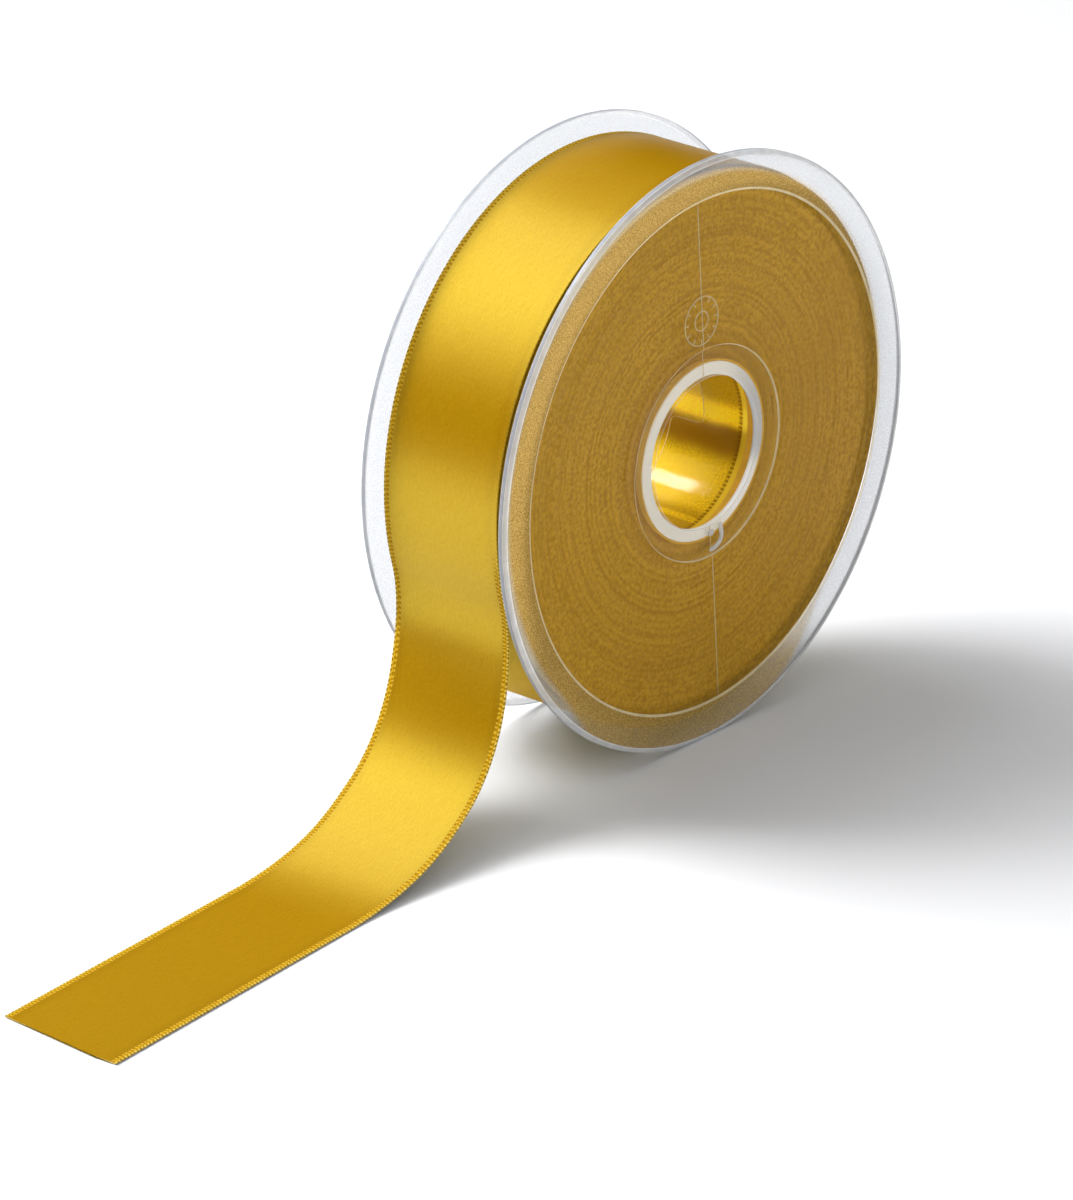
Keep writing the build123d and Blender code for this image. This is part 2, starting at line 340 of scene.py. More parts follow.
def satin_material():
    """Golden satin: shine that spreads along the ribbon, fine grain and stitched selvedges."""
    s = Shader("golden_satin")
    along, across, from_edge = s.place_on_ribbon()

    slanted = s.plus(across, s.times(along, 0.8))
    twill = s.noise(s.combine(s.times(along, 1.8), s.times(slanted, 5.0)), 1.0, 2.0)
    yarns = s.noise(s.combine(s.times(along, 0.4), s.times(across, 8.0)), 1.0, 1.0)
    grain = s.plus(s.times(twill, 0.65), s.times(yarns, 0.35))
    cloud = s.noise(s.combine(s.times(along, 0.05), s.times(across, 0.12)), 1.0, 2.0)

    dark = colour(0.42, 0.205, 0.0005)
    light = colour(0.54, 0.272, 0.0010)
    face = s.mix(s.ramp(grain, 0.32, 0.68), dark, light)
    face = s.mix(s.ramp(cloud, 0.2, 0.8, 0.0, 0.12), face, colour(0.40, 0.20, 0.001))

    # Stitches along the selvedge: a scalloped outer row, a cord and an inner row of seam stitches.
    unevenness = s.noise(s.combine(s.times(along, 0.8), s.times(across, 0.8)), 1.0, 2.0)
    phase = s.plus(s.times(along, STITCHES), s.times(unevenness, 7.0))
    knots = s.ramp(s.math("SINE", phase), -0.55, 0.55)
    late_knots = s.ramp(s.math("SINE", s.plus(phase, 2.2)), -0.5, 0.6)
    outer_row = s.mix(knots, colour(0.34, 0.19, 0.006), colour(0.76, 0.54, 0.10))
    cord = s.mix(late_knots, colour(0.44, 0.22, 0.003), colour(0.66, 0.38, 0.012))
    inner_row = s.mix(late_knots, colour(0.34, 0.17, 0.002), colour(0.68, 0.43, 0.04))
    edge = s.mix(s.ramp(from_edge, 0.36, 0.46), outer_row, cord)
    edge = s.mix(s.ramp(from_edge, 0.82, 0.92), edge, inner_row)
    shade = s.mix(s.ramp(from_edge, 1.3, 3.2), s.mix(0.35, face, colour(0.34, 0.16, 0.0)), face)
    base = s.mix(s.ramp(from_edge, 1.12, 1.22), edge, shade)
    # The near selvedge hardly shows where it lies on the roll, close to the flange.
    tucked = s.times(s.ramp(across, -10.5, -11.5), s.ramp(along, -2.0, -12.0))
    base = s.mix(s.times(tucked, 0.85), base, shade)

    # The normal leans along the ribbon, as the long floats of the weave do on its bends.
    on_face = s.math("MAXIMUM", s.ramp(from_edge, 1.1, 1.3), tucked)
    tangent = s.add("Tangent", direction_type="UV_MAP", uv_map="cloth").outputs[0]
    tilt = s.plus(s.ramp(along, 6.0, 26.0, -0.06, 0.13), s.ramp(along, 58.0, 76.0, 0.0, -0.13))
    lean = s.vector_math("MULTIPLY", tangent, s.combine(tilt, tilt, tilt))
    leaned = s.vector_math("ADD", s.add("NewGeometry").outputs["Normal"], lean)
    leaned = s.vector_math("NORMALIZE", leaned)
    normal = s.bump(s.times(grain, on_face), 0.05 * MM, 0.6, leaned)
    shine = s.times(s.ramp(on_face, 0.0, 1.0, 0.2, 0.42), s.ramp(along, -250.0, -225.0))
    s.set(
        Base_Color=s.without_bleed(base),
        Roughness=s.mix(on_face, colour(0.6, 0.6, 0.6), colour(0.34, 0.34, 0.34)),
        Anisotropic=0.8,
        Anisotropic_Rotation=0.25,
        Tangent=tangent,
        Specular_IOR_Level=shine,
        Specular_Tint=colour(0.72, 0.76, 0.14),
        Normal=normal,
    )
    s.add_layer(
        s.times(on_face, 0.27),
        Base_Color=s.mix(s.ramp(grain, 0.32, 0.68), colour(0.84, 0.64, 0.05), colour(0.96, 0.78, 0.09)),
        Metallic=1.0,
        Roughness=0.42,
        Anisotropic=0.8,
        Anisotropic_Rotation=0.25,
        Tangent=tangent,
        Normal=normal,
    )
    return s.material


def bore_satin_material():
    """The innermost turn seen through the clear sleeve: deep gold, with painted light and shade in broad
    bright and brown bands, and a painted glow.
    """
    s = Shader("satin_in_the_bore")
    along, across, from_edge = s.place_on_ribbon()
    # Painted light and shade: bright bands with brown shade between them, placed by the angle round the
    # axis in the room, as reflections would be.
    sway = s.noise(s.position(), 90.0, 2.0)
    turn = s.plus(s.turn_round_axis(), s.times(s.minus(sway, 0.5), 8.0))
    upper_painted_band = s.times(s.ramp(turn, -11.0, -3.0), s.ramp(turn, 13.0, 3.0, 0.4, 1.0))
    lower_painted_band = s.times(s.ramp(turn, -20.0, -34.0), s.ramp(turn, -70.0, -62.0, 0.45, 1.0))
    last = s.times(s.ramp(turn, -77.0, -75.0), s.ramp(turn, -71.0, -73.0))
    bright = s.plus(s.plus(upper_painted_band, lower_painted_band), last, clamp=True)
    weave = s.noise(s.combine(s.times(along, 3.0), s.times(across, 3.0)), 1.0, 1.0)
    gold = s.mix(bright, colour(0.36, 0.165, 0.003), colour(0.88, 0.57, 0.008))
    gold = s.mix(s.ramp(weave, 0.35, 0.65, 0.0, 0.5), gold, colour(0.34, 0.16, 0.002))
    knots = s.ramp(s.math("SINE", s.times(along, STITCHES)), -0.4, 0.4, 0.25, 0.85)
    gold = s.mix(s.times(s.ramp(from_edge, 2.1, 1.7), knots), gold, colour(0.22, 0.095, 0.001))
    gold = s.mix(s.ramp(from_edge, 1.3, 1.0), gold, colour(0.80, 0.55, 0.03))
    s.set(
        Base_Color=gold,
        Roughness=0.4,
        Metallic=0.35,
        Specular_IOR_Level=0.2,
        Specular_Tint=colour(1.0, 0.8, 0.3),
        # A painted glow, strongest in the upper bright band.
        Emission_Color=gold,
        Emission_Strength=s.plus(s.times(upper_painted_band, 0.42), 0.10),
        Normal=s.bump(weave, 0.03 * MM, 0.5),
    )
    return s.material


def roll_side_material():
    """The stacked selvedges of the wound ribbon: fine rings broken up by the picot stitches."""
    s = Shader("stacked_selvedges")
    place = s.place()
    parts = s.split(place)
    radius = s.length(parts[0], parts[2])
    wander = s.times(s.noise(place, 35.0, 1.0), 2.0)
    rings = s.noise(s.combine(s.plus(s.times(radius, 1.0 / MM), wander), 0.0), 1.0, 1.0)
    dashes = s.noise(place, 1500.0, 2.0)
    patches = s.noise(place, 45.0, 2.0)
    tone = s.plus(s.times(rings, 0.42), s.times(dashes, 0.58))
    base = s.mix(s.ramp(tone, 0.38, 0.62), colour(0.37, 0.180, 0.002), colour(0.56, 0.305, 0.016))
    base = s.mix(s.ramp(patches, 0.3, 0.7, 0.0, 0.35), base, colour(0.36, 0.185, 0.004))
    s.set(
        Base_Color=s.without_bleed(base),
        Roughness=0.7,
        Specular_IOR_Level=0.25,
        Specular_Tint=colour(1.0, 0.8, 0.35),
        Normal=s.bump(tone, 0.22 * MM, 0.9),
    )
    return s.material


def clear_material(name, index, haze=0.0, haze_colour=colour(0.8, 0.8, 0.8)):
    """Clear plastic: what is behind shows through, with a mirror shine that grows at grazing angles."""
    s = Shader(name)
    wobble = s.noise(s.place(), 55.0, 2.0)
    facing = s.minus(1.0, s.add("NewGeometry").outputs["Backfacing"])
    shine = s.times(s.add("Fresnel", {"IOR": index}).outputs[0], facing)
    s.set(
        Base_Color=haze_colour if haze else colour(0.95, 0.95, 0.95),
        Metallic=0.0 if haze else 0.9,
        Roughness=0.12,
        Normal=s.bump(wobble, 0.02 * MM, 0.4),
    )
    s.see_through(s.plus(shine, haze, clamp=True))
    return s.material


def frosted_material():
    """The rim band's fine frosting: whitish, and painted golden light where the wound ribbon lies behind
    it.
    """
    s = Shader("frosted_plastic")
    grain = s.noise(s.place(), 7500.0, 2.0, 0.6)
    sparkle = s.noise(s.place(), 3800.0, 1.0)
    tone = s.plus(s.times(grain, 0.6), s.times(sparkle, 0.4))
    # The line of sight is followed on across the gap to the wound ribbon.
    place = s.split(s.position())
    view = s.split(s.add("NewGeometry").outputs["Incoming"])
    reach = s.math("DIVIDE", ROLL_GAP, s.math("MAXIMUM", s.math("ABSOLUTE", view[1]), 0.2))
    x = s.minus(place[0], s.times(view[0], reach))
    z = s.minus(place[2], s.times(view[2], reach))
    # Lower down, the painted golden light reaches further out.
    z = s.plus(z, s.ramp(place[2], -30.0 * MM, -50.0 * MM, 0.0, 6.0 * MM))
    radius = s.length(x, z)
    inward = s.math("GREATER_THAN", s.times(place[1], view[1]), 0.0)
    # Painted golden light where the line of sight meets the wound ribbon.
    golden = s.times(inward, s.ramp(radius, ROLL_RADIUS + 0.7 * MM, ROLL_RADIUS - 1.3 * MM))
    pale = s.mix(s.ramp(tone, 0.35, 0.65), colour(0.75, 0.76, 0.775), colour(0.90, 0.905, 0.92))
    amber = s.mix(s.ramp(tone, 0.35, 0.65), colour(0.50, 0.29, 0.05), colour(0.93, 0.62, 0.18))
    tint = s.mix(golden, pale, amber)
    s.set(Base_Color=tint, Roughness=0.5, Normal=s.bump(tone, 0.04 * MM, 0.5))
    s.add_glow(0.5, tint)
    grains = (s.ramp(tone, 0.36, 0.64, 0.30, 0.38), s.ramp(tone, 0.36, 0.64, 0.42, 0.70))
    share = s.mix(golden, grains[0], grains[1])
    s.see_through(share, colour(0.71, 0.72, 0.735))
    return s.material


def pale_plastic(name, tone, alpha, roughness, glow=0.35, piped=0.0):
    """Plastic seen edge-on, where light piped through the moulding makes it pale and shine a little."""
    s = Shader(name)
    streaks = s.noise(s.place(), 420.0, 2.0)
    light = colour(*tone)
    dim = colour(tone[0] * 0.86, tone[1] * 0.87, tone[2] * 0.89)
    body = s.mix(s.ramp(streaks, 0.3, 0.7), dim, light)
    s.set(Base_Color=body, Roughness=roughness, Normal=s.bump(streaks, 0.02 * MM, 0.3))
    s.set(Emission_Color=body, Emission_Strength=piped)
    s.add_glow(glow, body)
    if alpha < 1.0:
        s.see_through(alpha)
    return s.material


def sleeve_end_material():
    """The hub's wall seen through the flange: warm white for the light piped along it, greyer on one side
    and brightest below it, as painted reflections fixed in the room, with a faint painted glow.
    """
    s = Shader("piped_light_end")
    turn = s.turn_round_axis()
    # Painted reflections: a greyer side, and a brightest part below it.
    grey = s.times(s.ramp(turn, -28.0, -12.0), s.ramp(turn, 75.0, 20.0))
    white = s.times(s.ramp(turn, -75.0, -55.0), s.ramp(turn, -22.0, -38.0))
    tone = s.mix(grey, colour(0.93, 0.93, 0.88), colour(0.66, 0.67, 0.68))
    tone = s.mix(white, tone, colour(0.97, 0.97, 0.97))
    s.set(Base_Color=tone, Roughness=0.35, Emission_Color=tone, Emission_Strength=0.12)
    s.add_glow(0.35, tone)
    return s.material


def cut_end_material():
    """The ribbon's cut end: pale yarn ends."""
    s = Shader("cut_yarn_ends")
    ends = s.noise(s.place(), 5200.0, 2.0)
    s.set(
        Base_Color=s.mix(s.ramp(ends, 0.35, 0.65), colour(0.62, 0.38, 0.03), colour(0.90, 0.66, 0.14)),
        Roughness=0.8,
        Normal=s.bump(ends, 0.04 * MM, 0.6),
    )
    return s.material


def floor_material():
    """A plain pale floor with the faintest mottle."""
    s = Shader("pale_floor")
    mottle = s.noise(s.place(), 9.0, 2.0)
    s.set(
        Base_Color=s.mix(mottle, colour(0.90, 0.90, 0.905), colour(0.92, 0.92, 0.92)),
        Roughness=0.7,
        Specular_IOR_Level=0.15,
    )
    return s.material


# ---------------------------------------------------------------- plastic mouldings


def joint_height(offset):
    """Height of the front sleeve's end at an arc distance past a tongue's side, inside being positive."""
    low = -TONGUE_REACH - TONGUE_GAP / 2
    high = TONGUE_REACH - TONGUE_GAP / 2
    inside = offset > 0
    near = min(abs(offset), TONGUE_CORNER)
    rounding = TONGUE_CORNER - math.sqrt(TONGUE_CORNER ** 2 - (TONGUE_CORNER - near) ** 2)
    return high - rounding if inside else low + rounding


def sleeve_columns(even_step=1.5):
    """Angles round the hub in degrees, closer together at the tongues' corners, with the end's height."""
    degrees_per_length = 180.0 / math.pi / HUB_RADIUS
    span = 180.0 / TONGUE_COUNT
    gap = TONGUE_GAP / 2 * degrees_per_length
    corner = TONGUE_CORNER * degrees_per_length
    offsets = [TONGUE_CORNER * (1 - math.cos(math.radians(15 * k))) for k in range(1, 7)]
    columns = []
    for index in range(TONGUE_COUNT):
        last = TONGUE_START + index * 360.0 / TONGUE_COUNT
        for side, inwards in ((last - span + gap, 1), (last - gap, -1)):
            for offset in [0.01 * MM] + offsets:
                for sign in (1, -1):
                    angle = side + inwards * sign * offset * degrees_per_length
                    columns.append((angle % 360.0, joint_height(sign * offset)))
        for first, length, height in (
            (last - span + gap + corner, span - 2 * gap - 2 * corner, joint_height(1.0)),
            (last - gap + corner, span + 2 * gap - 2 * corner, joint_height(-1.0)),
        ):
            count = int(length / even_step)
            for k in range(1, count):
                columns.append(((first + length * k / count) % 360.0, height))
    return sorted(columns)


def moulding(name, materials, half_turn):
    """One half of the spool: bevelled flange, recessed window and the hub sleeve with its tongues."""
    outside = -OUTER_FACE
    inside = -INNER_FACE
    window = outside + WINDOW_RECESS
    step = outside + STEP_RECESS
    end = None
    collar = -ROLL_HIGH.y if half_turn else ROLL_LOW.y
    rim_in = FLANGE_RADIUS - RIM_BEVEL_WIDTH
    edge = EDGE_ROUND
    mid_edge = edge * 0.29
    # Each entry is a radius, a place along the axis and the zone that follows it. The place called end is
    # the sleeve's, which is at another height at each angle. The rings at 24, 32 and 49 mm, and the two
    # in the bore before its end, only divide long faces.
    profile = [
        (HUB_RADIUS + 0.4 * MM, inside, "clear"),
        (24 * MM, inside, "clear"),
        (WINDOW_RADIUS, inside, "clear"),
        (FLANGE_RADIUS - edge, inside, "edge"),
        (FLANGE_RADIUS - mid_edge, inside - mid_edge, "edge"),
        (FLANGE_RADIUS, inside - edge, "rim"),
        (FLANGE_RADIUS, outside + RIM_BEVEL_DEPTH + edge, "edge"),
        (FLANGE_RADIUS - edge * 0.25, outside + RIM_BEVEL_DEPTH, "bevel"),
        (rim_in + edge, outside + edge * 0.35, "edge"),
        (rim_in - edge, outside, "frosted"),
        (49.0 * MM, outside, "frosted"),
        (WINDOW_RADIUS + 0.34 * MM, outside, "line"),
        (WINDOW_RADIUS + 0.10 * MM, outside + 0.04 * MM, "line"),
        (WINDOW_RADIUS - 0.10 * MM, window, "clear"),
        (32 * MM, window, "clear"),
        (STEP_RADIUS + edge * 0.8, window, "line"),
        (STEP_RADIUS, window + edge * 0.4, "line"),
        (STEP_RADIUS - edge, step, "centre"),
        (BORE_RADIUS + edge, step, "edge"),
        (BORE_RADIUS + mid_edge, step + mid_edge, "edge"),
        (BORE_RADIUS, step + edge, "sleeve"),
        (BORE_RADIUS, inside, "sleeve"),
        (BORE_RADIUS, -8 * MM, "sleeve"),
        (BORE_RADIUS, end, "line"),
        (BORE_RADIUS + 0.12 * MM, end, "sleeve"),
        (HUB_RADIUS, end, "sleeve"),
        (HUB_RADIUS, collar, "collar"),
        (HUB_RADIUS, inside + 0.4 * MM, "collar"),
        (HUB_RADIUS + 0.12 * MM, inside + 0.12 * MM, "collar"),
    ]
    zones = list(materials)
    columns = sleeve_columns()
    points = []
    for angle, height in columns:
        c = math.cos(math.radians(angle))
        s = math.sin(math.radians(angle))
        for radius, place, zone in profile:
            y = height if place is end else place
            points.append((radius * c, y, radius * s))
    points = turned_about_axis(np.array(points), half_turn, math.radians(TURN_OF_OTHER_HALF))
    faces = grid_faces(len(columns), len(profile), True, True)
    slots = [zones.index(zone) for radius, place, zone in profile] * len(columns)
    return make_object(name, points, faces, slots, [materials[z] for z in zones], 28.0)


def sleeve_end(name, material, half_turn):
    """The pale end of the sleeve's wall, seen through the flange."""
    near = -INNER_FACE
    far = near + 0.25 * MM
    inner = BORE_RADIUS + 0.03 * MM
    outer = HUB_RADIUS - 0.03 * MM
    crown = ((inner + outer) / 2, near - 0.03 * MM)
    profile = [(inner, near), crown, (outer, near), (outer, far), (inner, far)]
    count = 192
    points = []
    for k in range(count):
        angle = 2 * math.pi * k / count
        for radius, place in profile:
            points.append((radius * math.cos(angle), place, radius * math.sin(angle)))
    points = turned_about_axis(np.array(points), half_turn, 0.0)
    return make_object(name, points, grid_faces(count, len(profile), True, True), None, [material], 50.0)


def bead(path, width, height, base, rounded=5):
    """Vertices and faces of a raised bead along a path of (x, z) points on the front face."""
    path = np.array(path, float)
    tangents = np.gradient(path, axis=0)
    tangents /= np.linalg.norm(tangents, axis=1)[:, None]
    normals = np.column_stack([-tangents[:, 1], tangents[:, 0]])
    turns = [math.pi * k / rounded for k in range(rounded + 1)]
    section = [(math.cos(turn), math.sin(turn)) for turn in turns]
    points = []
    for index, centre in enumerate(path):
        taper = 0.55 if index in (0, len(path) - 1) else 1.0
        for side, rise in section:
            flat = centre + normals[index] * side * width / 2 * taper
            points.append((flat[0], base - rise * height * taper, flat[1]))
        for side in (-1, 1):
            flat = centre + normals[index] * side * width / 2 * taper
            points.append((flat[0], base + 0.05 * MM, flat[1]))
    ring = rounded + 3
    faces = grid_faces(len(path), ring, False, True)
    faces.append(tuple(range(ring))[::-1])
    faces.append(tuple(range((len(path) - 1) * ring, len(path) * ring)))
    return points, faces


def join_beads(beads):
    """The vertices and faces of several beads, as those of one mesh."""
    points = []
    faces = []
    for more_points, more_faces in beads:
        start = len(points)
        points.extend(more_points)
        faces.extend(tuple(start + i for i in face) for face in more_faces)
    return points, faces


def arc_path(centre, radius, first, last, count=48):
    """Points (x, z) along an arc between two angles in degrees."""
    angles = np.radians(np.linspace(first, last, count))
    return np.column_stack([centre[0] + radius * np.cos(angles), centre[1] + radius * np.sin(angles)])


def raised_marks(name, material, half_turn):
    """The mould's parting line and a plain dial with ticks, standing a little proud of the window."""
    window = -OUTER_FACE + WINDOW_RECESS
    step = -OUTER_FACE + STEP_RECESS
    tilt = math.radians(4.2)
    direction = np.array([-math.sin(tilt), math.cos(tilt)])
    line_width = 0.15 * MM
    line_height = 0.05 * MM
    beads = []
    parting_lines = (
        (STEP_RADIUS + 0.1 * MM, WINDOW_RADIUS - 0.2 * MM, window),
        (BORE_RADIUS + 0.2 * MM, STEP_RADIUS - 0.2 * MM, step),
    )
    for sign in (1, -1):
        for first, last, base in parting_lines:
            radii = np.linspace(first, last, 12)
            beads.append(bead(sign * radii[:, None] * direction, line_width, line_height, base, 3))
    dial = np.array([-2.0 * MM, 24.4 * MM])
    dial_width = 0.2 * MM
    dial_height = 0.06 * MM
    outer = 4.3 * MM
    inner = 1.7 * MM
    tick_radii = np.linspace(3.3 * MM, 4.1 * MM, 4)
    rings = ((outer, -60.0, 80.0), (outer, 82.0, 298.0), (inner, 0.0, 358.0))
    for radius, first, last in rings:
        beads.append(bead(arc_path(dial, radius, first, last), dial_width, dial_height, window, 3))
    for k in range(12):
        angle = math.radians(30 * k)
        outward = np.array([math.cos(angle), math.sin(angle)])
        tick = dial + outward * tick_radii[:, None]
        beads.append(bead(tick, dial_width, dial_height, window, 3))
    points, faces = join_beads(beads)
    points = turned_about_axis(np.array(points), half_turn, math.radians(TURN_OF_OTHER_HALF))
    return make_object(name, points, faces, None, [material], 60.0)


def gate_mark(name, material, half_turn):
    """The hooked bead and the nub left by the gate at the foot of the hub."""
    step = -OUTER_FACE + STEP_RECESS
    # Places (x, z) on the flange's face, in millimetres.
    stem = np.linspace((3.65, -13.75), (4.1, -15.9), 8)[:-1]
    bend = [(4.1, -15.9), (4.02, -16.5), (3.7, -17.05), (3.2, -17.5)]
    tail = [(2.5, -17.85), (1.7, -18.02), (0.9, -18.0)]
    hook = np.vstack([stem, bend, tail]) * MM
    nub = np.array([(1.3, -14.35), (1.3, -14.7), (1.3, -15.1), (1.3, -15.45)]) * MM
    hook_width = 0.9 * MM
    nub_width = 1.5 * MM
    rise = 0.33 * MM
    beads = [bead(hook, hook_width, rise, step, 8), bead(nub, nub_width, rise, step, 8)]
    points, faces = join_beads(beads)
    points = turned_about_axis(np.array(points), half_turn, math.radians(TURN_OF_OTHER_HALF))
    return make_object(name, points, faces, None, [material], 60.0)


# ---------------------------------------------------------------- ribbon


def free_end_bends():
    """Each stretch of the free end's side view: its start's distance, x, z and slope, and its radius.

    The last stretch is straight, and has no radius.
    """
    ground = GROUND + GROUND_CLEARANCE + RIBBON_THICKNESS / 2
    slope = -math.radians(LEAVING_ANGLE)
    distance = 0.0
    x = -LEAVING_RADIUS * math.cos(slope)
    z = LEAVING_RADIUS * math.sin(slope)
    bends = []
    for length, end in BENDS:
        end = math.radians(end)
        if length:
            radius = length / (end - slope)
        else:
            radius = (z - ground) / (1 - math.sin(slope))
        bends.append((distance, x, z, slope, radius))
        distance += radius * (end - slope)
        x += radius * (math.cos(end) - math.cos(slope))
        z -= radius * (math.sin(end) - math.sin(slope))
        slope = end
    bends.append((distance, x, z, slope, None))
    return bends


STRETCHES = free_end_bends()
FREE_LENGTH = STRETCHES[-1][0] + STRETCHES[-1][1] - TIP_LOW.x


def side_view(distance):
    """Place (x, z) of the ribbon's middle line and its slope from straight down.

    Distances are along the free end, and those below 0 are on the roll.
    """
    if distance < 0:
        turns = -distance / (2 * math.pi * LEAVING_RADIUS)
        radius = LEAVING_RADIUS - TURN_STEP * turns
        angle = math.pi + math.radians(LEAVING_ANGLE) - 2 * math.pi * turns
        return radius * math.cos(angle), radius * math.sin(angle), math.pi - angle
    start, x, z, slope, radius = [stretch for stretch in STRETCHES if stretch[0] <= distance][-1]
    if radius is None:
        return x - (distance - start), z, slope
    turned = slope + (distance - start) / radius
    x += radius * (math.cos(turned) - math.cos(slope))
    z -= radius * (math.sin(turned) - math.sin(slope))
    return x, z, turned


def ramp_at(distance, start, length):
    """How far a smooth ramp from 0 to 1 has risen, and its running total."""
    share = min(max((distance - start) / length, 0.0), 1.0)
    rest = max(distance - start - length, 0.0)
    return share * share * (3 - 2 * share), length * (share ** 3 - share ** 4 / 2) + rest


def sideways(distance):
    """The ribbon's sideways heading and how far its middle line has drifted towards -Y."""
    out, out_total = ramp_at(distance, 0.0, SKEW_RAMP)
    back, back_total = ramp_at(distance, FINAL_SKEW_START, FINAL_SKEW_RAMP)
    change = FINAL_SKEW - SKEW
    return math.atan(SKEW * out + change * back), SKEW * out_total + change * back_total


def ribbon_frame(distance):
    """The ribbon's centre, its across direction and its outward direction at a distance along it."""
    x, z, slope = side_view(distance)
    skew, drift = sideways(distance)
    along = Vector((-math.sin(slope), 0.0, -math.cos(slope)))
    across = along * math.sin(skew) + Vector((0.0, math.cos(skew), 0.0))
    outward = Vector((-math.cos(slope), 0.0, math.sin(slope)))
    return Vector((x, ROLL_CENTRE - drift, z)), across, outward


def ridge(from_edge, place, width):
    """The height across a ridge that stands at a place and falls away to both sides."""
    return math.exp(-((from_edge - place) / width) ** 2)


def selvedge_relief(from_edge, distance):
    """How far the ribbon's surface stands proud near its edge: picot stitches, a cord and a seam row."""
    phase = 2 * math.pi * distance / STITCH_PITCH
    picot = (0.03 + 0.025 * math.sin(phase)) * ridge(from_edge, 0.22, 0.13)
    cord = (0.05 + 0.012 * math.sin(phase + 2.2)) * ridge(from_edge, 0.64, 0.16)
    seam = (0.010 + 0.03 * math.sin(phase + 2.2)) * ridge(from_edge, 1.02, 0.10)
    grooves = -0.045 * ridge(from_edge, 0.43, 0.06) - 0.04 * ridge(from_edge, 0.85, 0.06)
    return (picot + cord + seam + grooves) * MM


# Places of the strips' vertices in from each edge in millimetres, and how many lie on the face between.
EDGE_STEPS = (0.0, 0.1, 0.22, 0.34, 0.43, 0.52, 0.64, 0.76, 0.85, 0.93, 1.02, 1.12, 1.25, 1.6, 2.4)
BACK_STEPS = (0.0, 0.22, 0.43, 0.64, 0.85, 1.02, 1.25, 2.4)
FACE_STEPS = 9


def across_places(edge_steps):
    """Places across the ribbon from one edge to the other, in metres from its middle."""
    half = RIBBON_WIDTH / 2 / MM
    left = [-half + e for e in edge_steps]
    middle = np.linspace(-half + edge_steps[-1], half - edge_steps[-1], FACE_STEPS + 2)[1:-1]
    return np.array(left + list(middle) + [-v for v in left[::-1]]) * MM


def cut_aslant(point):
    """Moves a point of the last of the ribbon back to the slanting cut at its end."""
    near = TIP_LOW.x + (point[1] - TIP_LOW.y) * math.tan(CUT_ANGLE)
    return Vector((max(point[0], near), point[1], point[2]))


def surface_lift(from_edge, distance, tucked):
    """Height of the ribbon's surface over its middle, thin at the edge and flatter where it is tucked."""
    if from_edge < 0.05:
        return 0.05 * MM
    relief = selvedge_relief(from_edge, distance) * (0.25 if tucked else 1.0)
    return RIBBON_THICKNESS / 2 - 0.02 * MM + relief


def strip(name, materials, first, last, pitch, cut=False):
    """The ribbon between two distances along it, as a closed thin strip with stitched selvedges.

    The near selvedge is tucked in, and nearly smooth, where the ribbon lies on the roll.
    """
    top = across_places(EDGE_STEPS)
    back = across_places(BACK_STEPS)[::-1]
    half = RIBBON_WIDTH / 2
    count = max(3, int(round((last - first) / pitch)) + 1)
    points = []
    uvs = []
    for distance in np.linspace(first, last, count):
        centre, across, outward = ribbon_frame(distance)
        scallop = 0.025 * MM * math.sin(2 * math.pi * distance / STITCH_PITCH)
        for places, sign in ((top, 1), (back, -1)):
            for place in places:
                from_edge = (half - abs(place)) / MM
                tucked = place < 0 and distance < TUCKED_BEFORE
                lift = surface_lift(from_edge, distance, tucked)
                stretch = place + math.copysign(scallop * math.exp(-from_edge / 0.2), place)
                points.append(centre + across * stretch + outward * sign * lift)
                uvs.append((distance / MM, place / MM))
    if cut:
        points = [cut_aslant(point) for point in points]
    ring = len(top) + len(back)
    faces = grid_faces(count, ring, False, True)
    faces.append(tuple(range(ring))[::-1])
    faces.append(tuple(range((count - 1) * ring, count * ring)))
    slots = [0] * (len(faces) - 2) + [1, 1]
    piece = make_object(name, points, faces, slots, materials, 80.0)
    add_uv(piece, uvs)
    return piece


def turn_offsets(rng, count, limit=0.28):
    """How far each turn of the ribbon stands sideways: slow wander, small jumps and fine scatter."""
    wander = np.cumsum(rng.normal(0, 0.02, count))
    wander -= np.linspace(wander[0], wander[-1], count)
    scatter = rng.normal(0, 0.045, count)
    jumps = np.where(rng.random(count) < 0.12, rng.normal(0, 0.12, count), 0.0)
    return np.clip(wander + scatter + jumps, -limit, limit) * MM


def lean_at(radius):
    """How much nearer the front flange a turn lies than a centred one, a little more further out."""
    share = (radius - HUB_RADIUS) / (ROLL_RADIUS - HUB_RADIUS)
    return LEAN_AT_HUB + (LEAN - LEAN_AT_HUB) * share


def turn_relief(offsets, row, angle, radius):
    """How far the edge of the turn at this row and angle stands out from the pack's side."""
    turn = row / PACK_ROWS_PER_TURN - angle / (2 * math.pi) + 1
    whole = int(math.floor(turn))
    crown = PACK_CROWN * (1 - abs(2 * (turn - whole) - 1))
    share = angle / (2 * math.pi)
    stand = offsets[whole] * (1 - share) + offsets[whole + 1] * share
    return (stand + crown - PACK_CROWN) * min(1.0, (radius - PACK_INNER_RADIUS) / MM)


def across_pack(radius, share):
    """The place along the axis at a share of the way from the pack's rear edge to its front edge."""
    front = ROLL_LOW.y - lean_at(radius)
    return ROLL_HIGH.y + (front - ROLL_HIGH.y) * share


